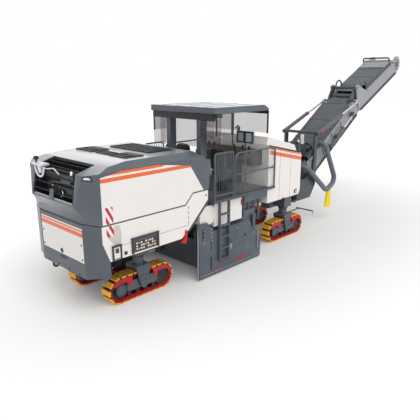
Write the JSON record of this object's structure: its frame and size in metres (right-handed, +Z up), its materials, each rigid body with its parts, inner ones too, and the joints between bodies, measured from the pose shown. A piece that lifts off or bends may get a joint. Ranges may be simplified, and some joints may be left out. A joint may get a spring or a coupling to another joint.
{
  "type": "cold planer",
  "caption": "Self-propelled road milling machine on steered crawler tracks, with a milling drum, tilting hood, canopy platform and a slewing, lifting and folding conveyor.",
  "frame": {"origin": "on the ground under the middle of the machine's box", "axes": "+X forward to the conveyor's tip, +Y to the machine's left, +Z up"},
  "size_m": [14.561, 2.55, 5.3763],
  "materials": {
    "dark_grey_paint": "satin",
    "white_paint": "gloss",
    "light_grey_paint": "satin",
    "black_metal": "matt",
    "machinery": "matt",
    "tool_steel": "worn",
    "plate_steel": "worn",
    "bright_rod": "polished",
    "belt_rubber": "matt",
    "pad_yellow": "matt",
    "glass": "clear",
    "seat_cover": "matt",
    "console_plastic": "matt",
    "duct_plastic": "satin",
    "sleeve_fabric": "matt"
  },
  "bodies": {
    "chassis": {"main_frame": "dark_grey_paint", "lower_side_panels": "white_paint", "tail": "dark_grey_paint", "tail_panel": "white_paint", "engine_block": "machinery", "cooler": "black_metal", "drum_housing": "dark_grey_paint", "loading_conveyor": "dark_grey_paint", "loading_belt": "belt_rubber", "front_tank": "white_paint", "side_tanks": "white_paint", "front_lamps": "black_metal", "platform": "dark_grey_paint", "railings": "dark_grey_paint", "ladders": "dark_grey_paint", "seats": "seat_cover", "console": "console_plastic", "displays": "console_plastic", "canopy_roof": "dark_grey_paint", "canopy_posts": "dark_grey_paint", "canopy_glass": "glass", "control_boxes": "light_grey_paint"},
    "hood": {"hood_shell": "dark_grey_paint", "hood_side_panels": "white_paint", "hood_grille": "black_metal", "roof_grilles": "black_metal"},
    "drum": {"milling_drum": "tool_steel"},
    "scraper": {"scraper": "plate_steel"},
    "plate_right": {"side_plate_right": "plate_steel"},
    "plate_left": {"side_plate_left": "plate_steel"},
    "slew": {"slew_frame": "dark_grey_paint"},
    "boom_lower": {"boom_lower_frame": "light_grey_paint", "boom_lower_cover": "dark_grey_paint", "boom_lower_belt": "belt_rubber", "suction_duct": "duct_plastic", "duct_sleeve": "sleeve_fabric"},
    "boom_upper": {"boom_upper_frame": "light_grey_paint", "boom_upper_cover": "dark_grey_paint", "boom_upper_belt": "belt_rubber"},
    "lift_barrels": {"lift_barrels": "dark_grey_paint"},
    "lift_rods": {"lift_rods": "bright_rod"},
    "track_rear_right": {"rear_right_loop": "pad_yellow", "rear_right_fork": "dark_grey_paint", "rear_right_track_frame": "machinery"},
    "track_rear_left": {"rear_left_loop": "pad_yellow", "rear_left_fork": "dark_grey_paint", "rear_left_track_frame": "machinery"},
    "track_front_right": {"front_right_loop": "pad_yellow", "front_right_fork": "dark_grey_paint", "front_right_track_frame": "machinery", "steering_pointer": "dark_grey_paint"},
    "track_front_left": {"front_left_loop": "pad_yellow", "front_left_fork": "dark_grey_paint", "front_left_track_frame": "machinery"}
  },
  "joints": [
    {"name": "steer_rear_right", "type": "hinge", "parent": "chassis", "child": "track_rear_right", "pos_m": [-5.7691, -0.66, 0.73], "axis": [0, 0, -1], "range_deg": [-25, 25]},
    {"name": "steer_rear_left", "type": "hinge", "parent": "chassis", "child": "track_rear_left", "pos_m": [-5.7691, 0.66, 0.73], "axis": [0, 0, -1], "range_deg": [-25, 25]},
    {"name": "steer_front_right", "type": "hinge", "parent": "chassis", "child": "track_front_right", "pos_m": [-0.4191, -0.66, 0.73], "axis": [0, 0, 1], "range_deg": [-25, 25]},
    {"name": "steer_front_left", "type": "hinge", "parent": "chassis", "child": "track_front_left", "pos_m": [-0.4191, 0.66, 0.73], "axis": [0, 0, 1], "range_deg": [-25, 25]},
    {"name": "drum_spin", "type": "hinge", "parent": "chassis", "child": "drum", "pos_m": [-3.2691, 0, 0.6], "axis": [0, 1, 0], "continuous": true},
    {"name": "plate_right_lift", "type": "slide", "parent": "chassis", "child": "plate_right", "axis": [0, 0, 1], "range_m": [0, 0.4]},
    {"name": "plate_left_lift", "type": "slide", "parent": "chassis", "child": "plate_left", "axis": [0, 0, 1], "range_m": [0, 0.4]},
    {"name": "scraper_lift", "type": "slide", "parent": "chassis", "child": "scraper", "axis": [0, 0, 1], "range_m": [0, 0.35]},
    {"name": "hood_open", "type": "hinge", "parent": "chassis", "child": "hood", "pos_m": [-4.1041, 0, 2.79], "axis": [0, 1, 0], "range_deg": [0, 45]},
    {"name": "conveyor_slew", "type": "hinge", "parent": "chassis", "child": "slew", "pos_m": [0.4309, 0, 0.9], "axis": [0, 0, 1], "range_deg": [-60, 60]},
    {"name": "conveyor_lift", "type": "hinge", "parent": "slew", "child": "boom_lower", "pos_m": [0.6809, 0, 1.45], "axis": [0, -1, 0], "range_deg": [-25, 5]},
    {"name": "conveyor_fold", "type": "hinge", "parent": "boom_lower", "child": "boom_upper", "pos_m": [3.98094, 0, 4.25023], "axis": [0, -1, 0], "range_deg": [0, 165]},
    {"name": "lift_barrel_swing", "type": "hinge", "parent": "slew", "child": "lift_barrels", "pos_m": [1.3809, 0, 2.9], "axis": [0, -1, 0], "range_deg": [-33, 7]},
    {"name": "lift_rod_slide", "type": "slide", "parent": "lift_barrels", "child": "lift_rods", "axis": [0.9363, 0, 0.3511], "range_m": [-0.12, 0.59]}
  ],
  "couplings": [
    {"joint": "lift_barrel_swing", "follows": "conveyor_lift", "ratio": 1.3},
    {"joint": "lift_rod_slide", "follows": "conveyor_lift", "m_per_rad": -1.33}
  ]
}
